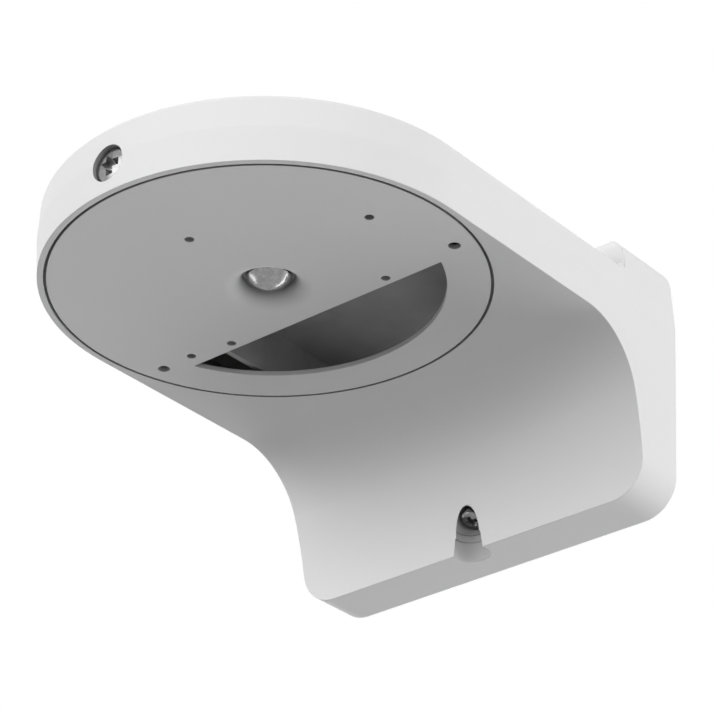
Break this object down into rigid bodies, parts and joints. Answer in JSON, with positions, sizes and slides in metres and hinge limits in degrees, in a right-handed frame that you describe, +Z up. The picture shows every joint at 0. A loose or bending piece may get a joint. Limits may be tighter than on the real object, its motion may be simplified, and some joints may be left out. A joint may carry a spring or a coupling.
{
  "type": "camera wall bracket",
  "caption": "Cast wall bracket with a round head that carries a camera under its plate, a level hollow arm and a swept wall flange hooked onto a steel wall plate.",
  "frame": {"origin": "middle of the wall face: mid width, mid height of the flange, on the plane of the wall, which is also the middle of the four wall screws", "axes": "+Z up, +Y into the wall, so the head points along -Y, and +X to the right of a person who faces the wall"},
  "size_m": [0.1224, 0.1611, 0.0766],
  "materials": {
    "casting_paint": "satin white powder coat on a die casting",
    "plate_paint": "fine matt white powder coat on sheet",
    "polished_screw": "smooth polished plating",
    "bright_screw": "bright turned stainless steel",
    "zinc_sheet": "zinc-plated pressed sheet"
  },
  "bodies": {
    "root": {"housing": "casting_paint", "camera_plate": "plate_paint", "centre_screw": "polished_screw", "rim_screw": "bright_screw", "lock_screw": "bright_screw", "wall_plate": "zinc_sheet"}
  },
  "joints": []
}
